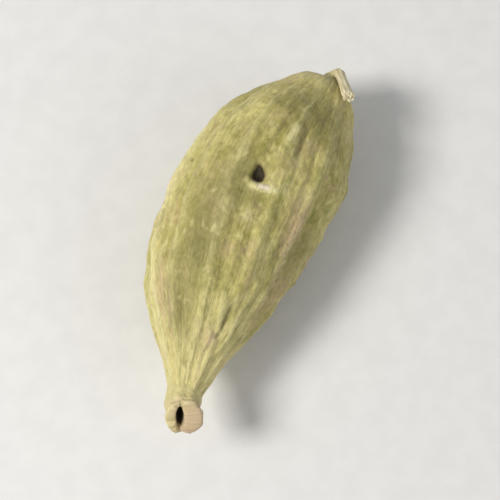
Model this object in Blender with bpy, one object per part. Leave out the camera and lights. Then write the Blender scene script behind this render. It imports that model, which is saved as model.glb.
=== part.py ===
"""A dried green cardamom pod, lying on one of its three flatter sides.

The pod is a closed capsule of three valves. Its husk is fullest nearer the stalk and draws out into a neck,
on which the dried tube of the flower, the calyx, still sits. Raised ribs run from end to end, and a shallow
furrow marks each seam between two valves. Sizes are in metres, +X points from the stalk to the calyx and +Z
is up. The origin lies on the surface below the pod, under the middle of its box.
"""

import math

import bmesh
import bpy
from mathutils import Vector, noise

MM = 0.001
FULL_TURN = 2 * math.pi
MERGE = 0.001 * MM
SHARP_EDGE = math.radians(50)

# The husk: its length from the stalk's seat to the neck's end, and its outline as (share of it, radius)
HUSK_LENGTH = 16.8 * MM
HUSK_OUTLINE = (
    (0.00, 0.50 * MM),
    (0.03, 1.45 * MM),
    (0.085, 2.08 * MM),
    (0.15, 2.76 * MM),
    (0.25, 3.40 * MM),
    (0.40, 3.66 * MM),
    (0.55, 3.50 * MM),
    (0.70, 3.03 * MM),
    (0.80, 2.35 * MM),
    (0.90, 1.45 * MM),
    (0.96, 0.97 * MM),
    (1.00, 0.82 * MM),
)
HUSK_SIDES = 120
HUSK_RINGS = 42
END_CROWDING = 0.6  # how far the rings crowd towards both ends, from 0 to 1

# The centre line: how far it bows to -Y, where it bows most, and how its neck dips and then lifts again
BOW = 1.18 * MM
BOW_SKEW = 1.13
NECK_DIP = 0.55 * MM
NECK_LIFT = 0.75 * MM
LIFT_POWER = 4

# The cross-section: three valves, one of them on top, with a furrow at each seam between two
VALVES = 3
TOP_VALVE = math.radians(86)
VALVE_SWELL = 0.055  # share of the radius
FURROW_DEPTH = 0.050  # share of the radius
FURROW_WIDTH = math.radians(7)
TWIST = math.radians(-34)  # how far valves and ribs turn from the stalk to the neck
TWIST_CENTRE = 0.45

# Four main ribs run along each valve, with a lesser one between each two. They wander and differ in strength,
# by (waves round, radians along).
RIBS = 4 * VALVES
RIB_HEIGHT = 0.052  # share of the radius
RIB_SHARPNESS = 2.2
LESSER_RIB = 0.45  # share of a main rib's height
LESSER_SHARPNESS = 4
RIB_WANDER = 0.040
WANDER_WAVES = ((2, 4), (3, -7))
RIB_UNEVENNESS = 0.30
UNEVEN_WAVE = (5, 3)
RIB_GROWTH = 0.6  # how much stronger the ribs are at the neck than at the stalk
RIB_START = 0.05  # the share of the length over which the ribs rise from the stalk's seat

# Creases where the drying skin fell in: (share, angle from the top, half length, half width, depth)
CREASES = (
    (0.80, math.radians(-16), 0.060, math.radians(5), 0.050),
    (0.62, math.radians(95), 0.120, math.radians(6), 0.035),
    (0.34, math.radians(158), 0.090, math.radians(5), 0.030),
)

# The seeds inside push the husk out in soft bulges
BULGE = 0.020  # share of the radius
BULGES_ALONG = 3.6
BULGES_ROUND = 1.5

FLAT_DEPTH = 0.32 * MM  # how much the underside is flattened where the pod rests
JOINT_GAP = 0.10 * MM  # between the husk and the piece at each of its ends

# The calyx: a short thick-lipped tube that goes on from the neck and curls upwards, as (distance from its base,
# radius)
CALYX_LENGTH = 1.35 * MM
CALYX_CURL = math.radians(42)
CALYX_SIDE = math.radians(17)  # how far its curl leans to +Y
CALYX_OUTLINE = (
    (0.00 * MM, 0.74 * MM),
    (0.08 * MM, 0.80 * MM),
    (0.35 * MM, 0.81 * MM),
    (0.60 * MM, 0.80 * MM),
    (0.85 * MM, 0.82 * MM),
    (1.05 * MM, 0.87 * MM),
    (1.20 * MM, 0.91 * MM),
    (1.30 * MM, 0.88 * MM),
    (1.36 * MM, 0.79 * MM),
    (1.37 * MM, 0.68 * MM),
    (1.32 * MM, 0.56 * MM),
    (1.20 * MM, 0.47 * MM),
    (1.00 * MM, 0.42 * MM),
    (0.75 * MM, 0.36 * MM),
    (0.45 * MM, 0.29 * MM),
)
MOUTH_RADIUS = 0.60 * MM  # the wall is inside the mouth where it is narrower than this
MOUTH_FLOOR = 0.40 * MM  # and further from the base than this
MOUTH_NARROWING = 0.50  # the mouth is dried to a slit, so this is its width as a share of its height
MOUTH_TURN = math.radians(30)  # how far the slit is turned round the tube
CALYX_SIDES = 36
CALYX_TEETH = 3
TOOTH_HEIGHT = 0.08 * MM
TOOTH_POWER = 4
TUBE_RIBS = 9
TUBE_RIB_HEIGHT = 0.02  # share of the radius

# The stalk: the broken end of the little stem that held the pod, bent over and lying along the pod's shoulder
STALK_ARC = 0.72 * MM
STALK_BEND = math.radians(120)
STALK_SIDE = math.radians(56)  # where it bends to, counted from +Y towards the top
STALK_OUTLINE = (
    (0.00 * MM, 0.38 * MM),
    (0.10 * MM, 0.35 * MM),
    (0.22 * MM, 0.31 * MM),
    (0.36 * MM, 0.28 * MM),
    (0.50 * MM, 0.27 * MM),
    (0.62 * MM, 0.26 * MM),
    (0.75 * MM, 0.26 * MM),
    (1.05 * MM, 0.25 * MM),
    (1.55 * MM, 0.24 * MM),
    (2.15 * MM, 0.25 * MM),
    (2.60 * MM, 0.27 * MM),
    (2.90 * MM, 0.29 * MM),
    (3.00 * MM, 0.22 * MM),
)
STALK_SIDES = 14

# Colour and roughness of each dry piece
HUSK_FINISH = ((0.42, 0.38, 0.15), 0.62)
CALYX_FINISH = ((0.62, 0.52, 0.29), 0.75)
STALK_FINISH = ((0.62, 0.55, 0.30), 0.70)


def outline_radius(share):
    """The husk's mean radius, by a smooth cubic through the points of its outline."""
    points = HUSK_OUTLINE
    right = next(i for i, (at, _) in enumerate(points) if at >= share and i > 0)
    left = right - 1

    def slope(i):
        before, after = points[max(i - 1, 0)], points[min(i + 1, len(points) - 1)]
        return (after[1] - before[1]) / (after[0] - before[0])

    span = points[right][0] - points[left][0]
    u = (share - points[left][0]) / span
    return (
        points[left][1] * (2 * u**3 - 3 * u**2 + 1)
        + slope(left) * span * (u**3 - 2 * u**2 + u)
        + points[right][1] * (3 * u**2 - 2 * u**3)
        + slope(right) * span * (u**3 - u**2)
    )


def centre(share):
    """A point of the husk's centre line."""
    bow = -BOW * math.sin(math.pi * share**BOW_SKEW)
    lift = NECK_LIFT * share**LIFT_POWER - NECK_DIP * share
    return Vector((HUSK_LENGTH * share, bow, lift))


def directions(share):
    """The unit vectors forward, sideways and upwards at a point of the centre line."""
    step = 1e-4
    forward = (centre(min(share + step, 1)) - centre(max(share - step, 0))).normalized()
    side = Vector((0, 0, 1)).cross(forward).normalized()
    return forward, side, forward.cross(side)


def from_top(share, angle):
    """An angle round the pod, counted from the middle of the top valve and along with the twist."""
    return angle - TOP_VALVE - TWIST * (share - TWIST_CENTRE)


def apart(angle, other, turn=FULL_TURN):
    """How far two angles are apart, within a turn or the given part of one."""
    return abs((angle - other + turn / 2) % turn - turn / 2)


def section(share, angle):
    """The husk's cross-section: its radius at an angle, as a share of the mean radius."""
    place = from_top(share, angle)
    swell = VALVE_SWELL * math.cos(VALVES * place)
    from_seam = apart(place, math.pi / VALVES, FULL_TURN / VALVES)
    furrow = FURROW_DEPTH * math.exp(-((from_seam / FURROW_WIDTH) ** 2))
    fade = math.sqrt(math.sin(math.pi * share))
    return 1 + fade * (swell - furrow)


def ribs(share, angle):
    """The height of the main and lesser ribs, as a share of the mean radius."""
    place = from_top(share, angle)
    wander = RIB_WANDER * sum(math.sin(waves * place + along * share) for waves, along in WANDER_WAVES)
    wave = 0.5 - 0.5 * math.cos(RIBS * (place + wander))
    crest = wave**RIB_SHARPNESS + LESSER_RIB * (1 - wave) ** LESSER_SHARPNESS
    waves, along = UNEVEN_WAVE
    strength = 1 + RIB_UNEVENNESS * math.sin(waves * place + along * share) + RIB_GROWTH * (share - 0.5)
    return RIB_HEIGHT * strength * crest * min(1, share / RIB_START)


def creases(share, angle):
    """The depth of the creases, as a share of the mean radius."""
    place = from_top(share, angle)
    depth = 0
    for at, beside, half_length, half_width, deepest in CREASES:
        off = ((share - at) / half_length) ** 2 + (apart(place, beside) / half_width) ** 2
        depth += deepest * math.exp(-off)
    return depth


def bulges(share, angle):
    """The height of the soft swellings over the seeds, as a share of the mean radius."""
    around = BULGES_ROUND * math.cos(angle), BULGES_ROUND * math.sin(angle)
    return BULGE * noise.noise(Vector((BULGES_ALONG * share, *around))) * math.sin(math.pi * share)


def spun(outline, sides):
    """A closed body turned round the X axis from (distance along X, radius) points, with flat ends."""
    body = bmesh.new()
    points = [(outline[0][0], 0), *outline, (outline[-1][0], 0)]
    verts = [body.verts.new((along, radius, 0)) for along, radius in points]
    edges = [body.edges.new(pair) for pair in zip(verts, verts[1:])]
    bmesh.ops.spin(
        body,
        geom=verts + edges,
        cent=(0, 0, 0),
        axis=(1, 0, 0),
        angle=FULL_TURN,
        steps=sides,
        use_merge=True,
    )
    bmesh.ops.remove_doubles(body, verts=body.verts, dist=MERGE)
    bmesh.ops.recalc_face_normals(body, faces=body.faces)
    return body


def flattened(body):
    """Cuts the underside flat, just above its lowest point, and returns the height of the flat."""
    level = min(vert.co.z for vert in body.verts) + FLAT_DEPTH
    cut = bmesh.ops.bisect_plane(
        body,
        geom=[*body.verts, *body.edges, *body.faces],
        dist=MERGE,
        plane_co=(0, 0, level),
        plane_no=(0, 0, -1),
        clear_outer=True,
    )
    rim = [item for item in cut["geom_cut"] if isinstance(item, bmesh.types.BMEdge)]
    for edge in rim:
        for vert in edge.verts:
            vert.co.z = level
    bmesh.ops.contextual_create(body, geom=rim)
    bmesh.ops.recalc_face_normals(body, faces=body.faces)
    return level


def curled(body, base, forward, turn, arc, bend):
    """Lays a body that was turned round X along a line from base.

    The line swings from forward to turn by the bend over the length of the arc, and then runs straight.
    """
    radius = arc / bend
    across = turn.cross(forward)
    for vert in body.verts:
        angle = bend * min(vert.co.x / arc, 1)
        beyond = max(vert.co.x - arc, 0)
        heading = math.cos(angle) * forward + math.sin(angle) * turn
        outward = math.cos(angle) * turn - math.sin(angle) * forward
        on_arc = radius * (math.sin(angle) * forward + (1 - math.cos(angle)) * turn)
        vert.co = base + on_arc + beyond * heading + vert.co.y * across + vert.co.z * outward


def finished(name, body, finish):
    """An object made from the bmesh, smooth but for its sharp edges, in a material of its own."""
    colour, roughness = finish
    material = bpy.data.materials.new(name)
    material.use_nodes = True
    shader = material.node_tree.nodes["Principled BSDF"]
    shader.inputs["Base Color"].default_value = (*colour, 1)
    shader.inputs["Roughness"].default_value = roughness
    shader.inputs["Metallic"].default_value = 0
    material.diffuse_color = (*colour, 1)
    mesh = bpy.data.meshes.new(name)
    body.to_mesh(mesh)
    body.free()
    mesh.materials.append(material)
    mesh.shade_smooth()
    mesh.set_sharp_from_angle(angle=SHARP_EDGE)
    node = bpy.data.objects.new(name, mesh)
    bpy.context.scene.collection.objects.link(node)
    return node


def build_husk():
    """The ribbed capsule, flattened a little where it rests, and the height of that flat."""
    outline = []
    for ring in range(HUSK_RINGS + 1):
        even = ring / HUSK_RINGS
        crowded = 0.5 - 0.5 * math.cos(math.pi * even)
        share = even + END_CROWDING * (crowded - even)
        outline.append((share * HUSK_LENGTH, outline_radius(share)))
    body = spun(outline, HUSK_SIDES)
    for vert in body.verts:
        share = min(max(vert.co.x / HUSK_LENGTH, 0), 1)
        angle = math.atan2(vert.co.z, vert.co.y)
        radius = math.hypot(vert.co.y, vert.co.z)
        radius *= section(share, angle) + ribs(share, angle) + bulges(share, angle) - creases(share, angle)
        _, side, up = directions(share)
        vert.co = centre(share) + radius * (math.cos(angle) * side + math.sin(angle) * up)
    level = flattened(body)
    return finished("husk", body, HUSK_FINISH), level


def build_calyx():
    """The dried flower tube: a thick-lipped cup with three worn teeth and a narrow mouth, curled up."""
    body = spun(CALYX_OUTLINE, CALYX_SIDES)
    for vert in body.verts:
        angle = math.atan2(vert.co.z, vert.co.y)
        height = vert.co.x / CALYX_LENGTH
        widening = 1 + TUBE_RIB_HEIGHT * math.cos(TUBE_RIBS * angle)
        tooth = TOOTH_HEIGHT * math.cos(CALYX_TEETH * angle) * height**TOOTH_POWER
        in_mouth = vert.co.x > MOUTH_FLOOR and math.hypot(vert.co.y, vert.co.z) < MOUTH_RADIUS
        across = vert.co.y * math.cos(MOUTH_TURN) + vert.co.z * math.sin(MOUTH_TURN)
        shrink = (1 - MOUTH_NARROWING) * across if in_mouth else 0
        y = vert.co.y * widening - shrink * math.cos(MOUTH_TURN)
        z = vert.co.z * widening - shrink * math.sin(MOUTH_TURN)
        vert.co = (vert.co.x + tooth, y, z)
    forward, side, up = directions(1)
    turn = math.sin(CALYX_SIDE) * side + math.cos(CALYX_SIDE) * up
    curled(body, centre(1) + JOINT_GAP * forward, forward, turn, CALYX_LENGTH, CALYX_CURL)
    return finished("calyx", body, CALYX_FINISH)


def build_stalk():
    """The stub of stem on the round end, lying along the shoulder."""
    body = spun(STALK_OUTLINE, STALK_SIDES)
    forward, side, up = directions(0)
    turn = math.cos(STALK_SIDE) * side + math.sin(STALK_SIDE) * up
    curled(body, centre(0) - JOINT_GAP * forward, -forward, turn, STALK_ARC, STALK_BEND)
    return finished("stalk", body, STALK_FINISH)


def stand_on_origin(nodes, level):
    """Parents the nodes to an empty that brings their box over the origin and the flat to Z = 0."""
    corners = [vert.co for node in nodes for vert in node.data.vertices]
    middle = [(min(c[axis] for c in corners) + max(c[axis] for c in corners)) / 2 for axis in range(2)]
    pod = bpy.data.objects.new("pod", None)
    bpy.context.scene.collection.objects.link(pod)
    pod.location = (-middle[0], -middle[1], -level)
    for node in nodes:
        node.parent = pod


def main():
    for obj in list(bpy.data.objects):
        bpy.data.objects.remove(obj)
    husk, level = build_husk()
    calyx = build_calyx()
    stalk = build_stalk()
    stand_on_origin([husk, calyx, stalk], level)


main()
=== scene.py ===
# %% [markdown]
# # A dried green cardamom pod
#
# A cardamom pod is a small papery capsule, about as long as a thumbnail is wide. Three curved valves meet at
# three seams, fine ribs run from the stalk to the neck, and the dried tube of the flower still sits on the
# neck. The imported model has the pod's main shape and its larger ribs. This lesson puts the finer skin over it:
# the hair-fine ridges, the puckers, the hole and the creases, and the colours of the dry plant.
#
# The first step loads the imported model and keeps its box, because the dressed pod has to fill the same box.

# %% Load the frame
import math
from functools import lru_cache

import bmesh
import bpy
from mathutils import Matrix, Vector, noise


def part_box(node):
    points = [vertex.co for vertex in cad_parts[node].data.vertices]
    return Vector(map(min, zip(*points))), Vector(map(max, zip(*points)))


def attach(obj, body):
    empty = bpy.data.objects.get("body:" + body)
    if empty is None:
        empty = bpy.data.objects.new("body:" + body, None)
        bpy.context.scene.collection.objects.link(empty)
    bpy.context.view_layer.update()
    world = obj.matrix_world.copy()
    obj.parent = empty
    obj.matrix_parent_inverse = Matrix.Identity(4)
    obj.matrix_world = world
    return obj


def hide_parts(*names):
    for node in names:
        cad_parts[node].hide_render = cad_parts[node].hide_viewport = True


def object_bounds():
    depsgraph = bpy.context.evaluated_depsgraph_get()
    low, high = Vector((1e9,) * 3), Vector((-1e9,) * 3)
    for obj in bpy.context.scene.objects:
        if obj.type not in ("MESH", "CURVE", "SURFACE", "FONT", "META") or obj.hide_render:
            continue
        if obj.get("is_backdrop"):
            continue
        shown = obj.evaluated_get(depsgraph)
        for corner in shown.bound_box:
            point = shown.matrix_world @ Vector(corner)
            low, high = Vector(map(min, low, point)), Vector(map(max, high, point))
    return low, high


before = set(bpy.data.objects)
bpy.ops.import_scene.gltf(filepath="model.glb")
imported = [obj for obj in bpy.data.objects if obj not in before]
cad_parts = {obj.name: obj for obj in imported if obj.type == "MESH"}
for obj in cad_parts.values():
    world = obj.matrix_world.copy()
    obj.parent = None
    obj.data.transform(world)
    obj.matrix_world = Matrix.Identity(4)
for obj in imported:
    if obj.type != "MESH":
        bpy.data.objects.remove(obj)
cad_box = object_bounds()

print("pieces in the frame:", ", ".join(sorted(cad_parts)))
print("box of the frame in mm:", [[round(1000 * value, 2) for value in corner] for corner in cad_box])

# %% [markdown]
# ## Millimetres
#
# The details here are hundredths of a millimetre high, so every piece is modelled in millimetres, where such
# numbers are easy to read, and scaled to metres once, at the end. Two helpers are used all the way: one that
# turns an outline round the X axis into a closed body, as a potter turns a profile, and one that finishes a
# body as an object. Spin is the right operator for the body, because a pod, a flower tube and a stem all grow
# round a line. Its last copy is merged with its first, and the two poles are closed by merging doubles.

# %% Helpers for every piece
FULL_TURN = 2 * math.pi
MERGE = 0.0005


def spun(outline, sides, layers=()):
    """A closed body turned round the X axis from (distance along X, radius) points."""
    body = bmesh.new()
    body.verts.layers.float_vector.new("grain")
    for layer in layers:
        body.verts.layers.float.new(layer)
    points = [(outline[0][0], 0), *outline, (outline[-1][0], 0)]
    verts = [body.verts.new((along, radius, 0)) for along, radius in points]
    edges = [body.edges.new(pair) for pair in zip(verts, verts[1:])]
    bmesh.ops.spin(
        body,
        geom=verts + edges,
        cent=(0, 0, 0),
        axis=(1, 0, 0),
        angle=FULL_TURN,
        steps=sides,
        use_merge=True,
    )
    bmesh.ops.remove_doubles(body, verts=body.verts, dist=MERGE)
    bmesh.ops.recalc_face_normals(body, faces=body.faces)
    return body


def finished(name, body, node, material):
    """Makes an object in metres from the body, which stands for a node of the frame."""
    bmesh.ops.scale(body, vec=(0.001, 0.001, 0.001), verts=body.verts)
    mesh = bpy.data.meshes.new(name)
    body.to_mesh(mesh)
    body.free()
    mesh.materials.append(material)
    mesh.shade_smooth()
    piece = bpy.data.objects.new(name, mesh)
    bpy.context.scene.collection.objects.link(piece)
    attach(piece, "root")
    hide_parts(node)
    print(f"{name}: {sum(len(face.vertices) - 2 for face in mesh.polygons)} triangles")


def fade(value, start, end):
    """0 up to start, 1 from end on, and a smooth step between them."""
    t = min(max((value - start) / (end - start), 0), 1)
    return t * t * (3 - 2 * t)


def bell(distance, half_width):
    """1 at no distance, falling off smoothly over the half width."""
    return math.exp(-((distance / half_width) ** 2))


print("a fade is at", fade(0.5, 0, 1), "halfway, and a bell at", round(bell(1, 1), 2), "at its half width")

# %% [markdown]
# ## The line and the outline of the husk
#
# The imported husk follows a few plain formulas, and the same ones are used here, so that the new skin lies
# exactly on it. The outline says how thick the pod is at each share of its length: it swells quickly from the
# stalk, is fullest at two fifths, and draws out into a neck. The centre line bows to one side, dips under the
# neck and lifts again at its end.
#
# Every point of one ring asks for the same centre and the same radius, so both are remembered once worked out.

# %% Outline and centre line
HUSK_LENGTH = 16.8
HUSK_OUTLINE = (  # share of the length, radius in mm
    (0.00, 0.50), (0.03, 1.45), (0.085, 2.08), (0.15, 2.76),
    (0.25, 3.40), (0.40, 3.66), (0.55, 3.50), (0.70, 3.03),
    (0.80, 2.35), (0.90, 1.45), (0.96, 0.97), (1.00, 0.82),
)
BOW, BOW_SKEW = 1.18, 1.13
NECK_DIP, NECK_LIFT, LIFT_POWER = 0.55, 0.75, 4


@lru_cache(maxsize=None)
def outline_radius(share):
    """The husk's mean radius at a share of its length, by a smooth cubic through its outline."""
    points = HUSK_OUTLINE
    right = next(i for i, (at, _) in enumerate(points) if at >= share and i > 0)
    left = right - 1

    def slope(i):
        before, after = points[max(i - 1, 0)], points[min(i + 1, len(points) - 1)]
        return (after[1] - before[1]) / (after[0] - before[0])

    span = points[right][0] - points[left][0]
    u = (share - points[left][0]) / span
    return (
        points[left][1] * (2 * u**3 - 3 * u**2 + 1)
        + slope(left) * span * (u**3 - 2 * u**2 + u)
        + points[right][1] * (3 * u**2 - 2 * u**3)
        + slope(right) * span * (u**3 - u**2)
    )


def centre(share):
    """A point of the husk's centre line."""
    bow = -BOW * math.sin(math.pi * share**BOW_SKEW)
    return Vector((HUSK_LENGTH * share, bow, NECK_LIFT * share**LIFT_POWER - NECK_DIP * share))


@lru_cache(maxsize=None)
def directions(share):
    """The unit vectors forward, sideways and upwards at a point of the centre line."""
    step = 1e-4
    forward = (centre(min(share + step, 1)) - centre(max(share - step, 0))).normalized()
    side = Vector((0, 0, 1)).cross(forward).normalized()
    return forward, side, forward.cross(side)


print("the husk is fullest at", max(range(101), key=lambda i: outline_radius(i / 100)), "% of its length")

# %% [markdown]
# ## Valves, seams and main ribs
#
# Cut across, a pod is a rounded triangle: each of the three valves swells, and a shallow furrow marks the seam
# between two. Twelve main ribs run along it with a weaker one between each two, and they turn a little round
# the pod on their way to the neck. These forms are in the frame too, so they are repeated with its values.
#
# A power of a cosine makes the ribs. A plain cosine would give even waves, and the power narrows the crests and
# widens the valleys between them, which is how skin looks when it has dried over stiff veins.

# %% Cross-section and ribs
VALVES = 3
TOP_VALVE = math.radians(86)
VALVE_SWELL = 0.055
FURROW_DEPTH, FURROW_WIDTH = 0.050, math.radians(7)
TWIST, TWIST_CENTRE = math.radians(-34), 0.45
RIBS, RIB_HEIGHT, RIB_SHARPNESS = 12, 0.052, 2.2
LESSER_RIB, LESSER_SHARPNESS = 0.45, 4
RIB_WANDER, WANDER_WAVES = 0.040, ((2, 4), (3, -7))
RIB_UNEVENNESS, UNEVEN_WAVE = 0.30, (5, 3)
RIB_GROWTH, RIB_START = 0.6, 0.05
CREASES = (
    (0.80, math.radians(-16), 0.060, math.radians(5), 0.050),
    (0.62, math.radians(95), 0.120, math.radians(6), 0.035),
    (0.34, math.radians(158), 0.090, math.radians(5), 0.030),
)
BULGE, BULGES_ALONG, BULGES_ROUND = 0.020, 3.6, 1.5


def from_top(share, angle):
    """An angle round the pod, counted from the middle of the top valve and along with the twist."""
    return angle - TOP_VALVE - TWIST * (share - TWIST_CENTRE)


def apart(angle, other, turn=FULL_TURN):
    """How far two angles are apart, within a turn or the given part of one."""
    return abs((angle - other + turn / 2) % turn - turn / 2)


def from_seam(place):
    """How far an angle is from the nearest of the three seams."""
    return apart(place, math.pi / VALVES, FULL_TURN / VALVES)


def section(share, place):
    """The cross-section's radius, as a share of the mean radius."""
    swell = VALVE_SWELL * math.cos(VALVES * place)
    return 1 + math.sqrt(math.sin(math.pi * share)) * (swell - FURROW_DEPTH * bell(from_seam(place), FURROW_WIDTH))


def rib_crest(share, place):
    """0 in a valley and 1 on the crest of a main rib, with the lesser ribs lower."""
    wander = RIB_WANDER * sum(math.sin(waves * place + along * share) for waves, along in WANDER_WAVES)
    wave = 0.5 - 0.5 * math.cos(RIBS * (place + wander))
    return wave**RIB_SHARPNESS + LESSER_RIB * (1 - wave) ** LESSER_SHARPNESS


def rib_height(share, place):
    """How much a full crest stands up there, as a share of the mean radius."""
    waves, along = UNEVEN_WAVE
    strength = 1 + RIB_UNEVENNESS * math.sin(waves * place + along * share) + RIB_GROWTH * (share - 0.5)
    return RIB_HEIGHT * strength * min(1, share / RIB_START)


def crease_depth(share, place):
    """The depth of the large creases, as a share of the mean radius."""
    depth = 0
    for at, beside, half_length, half_width, deepest in CREASES:
        depth += deepest * bell(share - at, half_length) * bell(apart(place, beside), half_width)
    return depth


def bulges(share, angle):
    """The soft swellings over the seeds, as a share of the mean radius."""
    around = BULGES_ROUND * math.cos(angle), BULGES_ROUND * math.sin(angle)
    return BULGE * noise.noise(Vector((BULGES_ALONG * share, *around))) * math.sin(math.pi * share)


print("a main rib stands", round(RIB_HEIGHT * outline_radius(0.4), 2), "mm high at the fullest ring")

# %% [markdown]
# ## The fine skin
#
# Seen from close by, the skin between the ribs is never smooth. Hair-fine ridges run along it, mostly parallel,
# joining and parting. Between the ribs the skin shrank more, so it lies in short puckers across, and softer
# dents show where it sank between two seeds.
#
# Noise in three dimensions makes these. It is read on a cylinder that follows the twist of the ribs, the grain
# of the pod, with the length squeezed so that its blobs become long strokes. Folding the noise at zero turns
# soft waves into sharp ridges. The same grain is kept on each vertex, and the colours follow it later.

# %% Grain, ridges and puckers
GRAIN_RADIUS = 3.7
HAIR_RIDGE = 0.050
HAIR_ALONG, HAIR_AROUND, HAIR_WANDER = 0.20, 2.3, 0.22
FOLD_SHARPNESS = 3.2
PUCKER = 0.042
PUCKER_ALONG, PUCKER_AROUND = 2.6, 0.9
DENT = 0.115
DENTS = ((1.00, 0.55), (0.60, 1.3), (0.32, 2.9))  # share of the height, and dents per mm


def grain_point(share, place):
    """The place on the twisted cylinder, in mm, where all patterns of the husk are read."""
    return Vector((HUSK_LENGTH * share, GRAIN_RADIUS * math.cos(place), GRAIN_RADIUS * math.sin(place)))


def ridged(grain, along, around):
    """Noise folded into ridges: 1 on a ridge and 0 in the hollows, with strokes along the pod."""
    value = noise.noise(Vector((grain.x * along, grain.y * around, grain.z * around)))
    return max(0, 1 - FOLD_SHARPNESS * abs(value))


def hair_ridges(grain):
    """Fine ridges in two sizes, from 0 to 1."""
    wander = HAIR_WANDER * noise.noise(grain * 0.35)
    bent = Vector((grain.x, grain.y + wander, grain.z + wander))
    coarse = ridged(bent, HAIR_ALONG, HAIR_AROUND)
    finer = ridged(bent, 1.8 * HAIR_ALONG, 1.9 * HAIR_AROUND)
    return 0.65 * coarse + 0.35 * finer


def puckers(grain):
    """Short wrinkles across the grain, in patches, from 0 to 1."""
    patch = fade(noise.noise(grain * 0.45 + Vector((7, 3, 1))), -0.15, 0.35)
    return patch * ridged(grain, PUCKER_ALONG, PUCKER_AROUND)


def dents(grain):
    """Soft hollows and swellings, about from -1 to 1."""
    return sum(height * noise.noise(grain * per_mm) for height, per_mm in DENTS)


print("hair ridges are about", round(1 / HAIR_AROUND, 2), "mm apart")

# %% [markdown]
# ## Seams, strokes and the hole
#
# Three kinds of detail have a place of their own. Each seam is a hair-line groove with a slightly raised edge on
# both sides. A few ridges and creases are single strokes: the skin folded there while it dried. And on the top
# valve there is a small hole, as an insect or a thorn leaves, with a swollen rim on the neck's side that is
# painted pale as a painted highlight. The skin round it has sunk a little.
#
# A stroke is a line on the unrolled skin. For each point the distance to the line is measured, and a bell curve
# over that distance raises or lowers the skin, most in the middle of the stroke.

# %% Seams, strokes and the hole
SEAM_GROOVE, GROOVE_WIDTH = 0.055, 0.10
SEAM_EDGE, EDGE_BESIDE, EDGE_WIDTH = 0.030, 0.24, 0.13
STROKES = (  # (share, degrees from the top) of both ends, half width and height in mm
    (0.205, -13, 0.290, -9, 0.26, 0.150),
    (0.290, -9, 0.350, -6, 0.20, 0.110),
    (0.195, -3, 0.375, 0, 0.14, -0.100),
    (0.190, -20, 0.320, -21, 0.20, -0.130),
    (0.740, -6, 0.845, -8, 0.16, 0.140),
    (0.755, -25, 0.900, -30, 0.18, 0.140),
    (0.755, -16, 0.850, -15, 0.11, -0.110),
    (0.846, -14, 0.868, -13, 0.12, -0.120),
    (0.847, -5, 0.893, -7, 0.26, 0.150),
    (0.700, 62, 0.860, 66, 0.16, 0.050),
    (0.480, 4, 0.580, -2, 0.12, -0.060),
    (0.560, 22, 0.700, 26, 0.13, -0.055),
    (0.250, 30, 0.360, 38, 0.14, -0.050),
    (0.420, 75, 0.590, 82, 0.13, 0.075),
    (0.300, 120, 0.470, 112, 0.12, -0.070),
    (0.550, 150, 0.760, 158, 0.13, 0.080),
    (0.220, -90, 0.380, -97, 0.13, 0.070),
    (0.500, -120, 0.680, -111, 0.12, -0.075),
    (0.600, -75, 0.780, -82, 0.13, -0.065),
)
HOLE_SHARE, HOLE_PLACE = 0.399, math.radians(-2)
HOLE_DEPTH, HOLE_LENGTH, HOLE_WIDTH = 0.45, 0.41, 0.31
HOLE_RAGGEDNESS, RAGS_PER_MM = 0.35, 2.6
RIM_HEIGHT, RIM_WIDTH, RIM_LENGTH = 0.15, 0.22, 0.46
RIM_AT, RIM_TILT = (0.60, -0.40), 0.30
SAG_DEPTH, SAG_LENGTH, SAG_WIDTH = 0.15, 1.3, 0.85
SAG_AT = (-0.20, 0.15)
SAG_REACH = (3.5, 3)


def seam_relief(grain, place, radius):
    """The groove of a seam and the raised edges beside it, in mm."""
    distance = from_seam(place) * radius + 0.05 * noise.noise(grain * 1.1)
    edge = SEAM_EDGE * bell(abs(distance) - EDGE_BESIDE, EDGE_WIDTH)
    return edge - SEAM_GROOVE * bell(distance, GROOVE_WIDTH)


def strokes(share, place, radius):
    """The single folds and creases in mm."""
    height = 0
    for share_a, degrees_a, share_b, degrees_b, half_width, tallest in STROKES:
        t = (share - share_a) / (share_b - share_a)
        if not -0.2 < t < 1.2:
            continue
        beside = math.radians(degrees_a + t * (degrees_b - degrees_a))
        along = 2 * t - 1
        height += tallest * math.exp(-2 * along**4) * bell(apart(place, beside) * radius, half_width)
    return height


def hole_relief(share, place, radius):
    """How deep the hole is, how high its rim and how far the skin round it has sunk, in mm."""
    along = HUSK_LENGTH * (share - HOLE_SHARE)
    across = ((place - HOLE_PLACE + math.pi) % FULL_TURN - math.pi) * radius
    if abs(along) > SAG_REACH[0] or abs(across) > SAG_REACH[1]:
        return 0, 0, 0
    ragged = 1 + HOLE_RAGGEDNESS * noise.noise(Vector((RAGS_PER_MM * along, RAGS_PER_MM * across, 1)))
    off = ragged * math.hypot(along / HOLE_LENGTH, across / HOLE_WIDTH)
    rim = bell(along - RIM_AT[0] - RIM_TILT * across, RIM_WIDTH) * bell(across - RIM_AT[1], RIM_LENGTH)
    sag = bell(along - SAG_AT[0], SAG_LENGTH) * bell(across - SAG_AT[1], SAG_WIDTH)
    return HOLE_DEPTH * math.exp(-(off**4)), RIM_HEIGHT * rim, SAG_DEPTH * sag


print("single strokes:", len(STROKES))
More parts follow.
